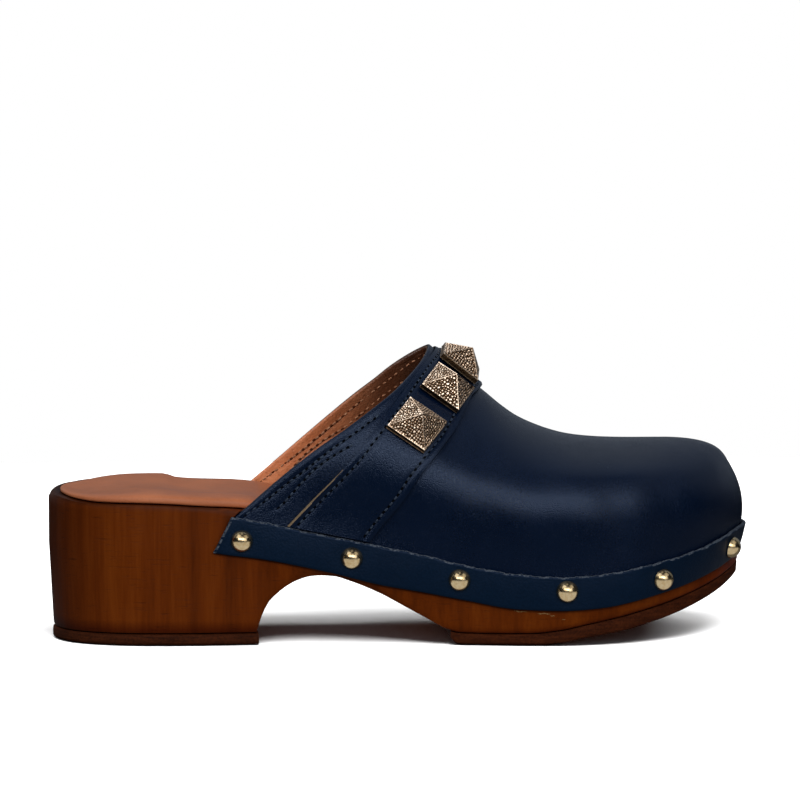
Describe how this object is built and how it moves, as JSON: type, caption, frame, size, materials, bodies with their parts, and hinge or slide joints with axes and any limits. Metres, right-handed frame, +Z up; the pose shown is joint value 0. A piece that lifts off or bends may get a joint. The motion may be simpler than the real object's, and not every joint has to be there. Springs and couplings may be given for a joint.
{
  "type": "clog mule",
  "caption": "Right clog mule: carved wooden sole with block heel and open arch, closed-toe leather upper nailed on round the edge, studded instep strap, open back.",
  "frame": {"origin": "on the floor under the middle of the bounding box", "axes": "+X towards the toe, +Y towards the inner side of the foot, +Z up from the floor"},
  "size_m": [0.255, 0.1006, 0.1045],
  "materials": {
    "wood": "satin stain",
    "heel_rubber": "matte",
    "forefoot_rubber": "matte",
    "tan_leather": "smooth, padded",
    "navy_leather": "semi-gloss, fine grain",
    "strap_leather": "semi-gloss, raw edges",
    "rand_leather": "satin, raw edges",
    "brass": "polished",
    "antique_gold": "hammered, darkened in the hollows"
  },
  "bodies": {
    "root": {"wood_sole": "wood", "heel_lift": "heel_rubber", "forefoot_outsole": "forefoot_rubber", "insole": "tan_leather", "upper": "navy_leather", "instep_strap": "strap_leather", "rand": "rand_leather", "nail_outer_1": "brass", "nail_outer_2": "brass", "nail_outer_3": "brass", "nail_outer_4": "brass", "nail_outer_5": "brass", "nail_outer_6": "brass", "nail_inner_1": "brass", "nail_inner_2": "brass", "nail_inner_3": "brass", "nail_inner_4": "brass", "nail_inner_5": "brass", "nail_inner_6": "brass", "stud_1": "antique_gold", "stud_2": "antique_gold", "stud_3": "antique_gold", "stud_4": "antique_gold", "stud_5": "antique_gold"}
  },
  "joints": []
}
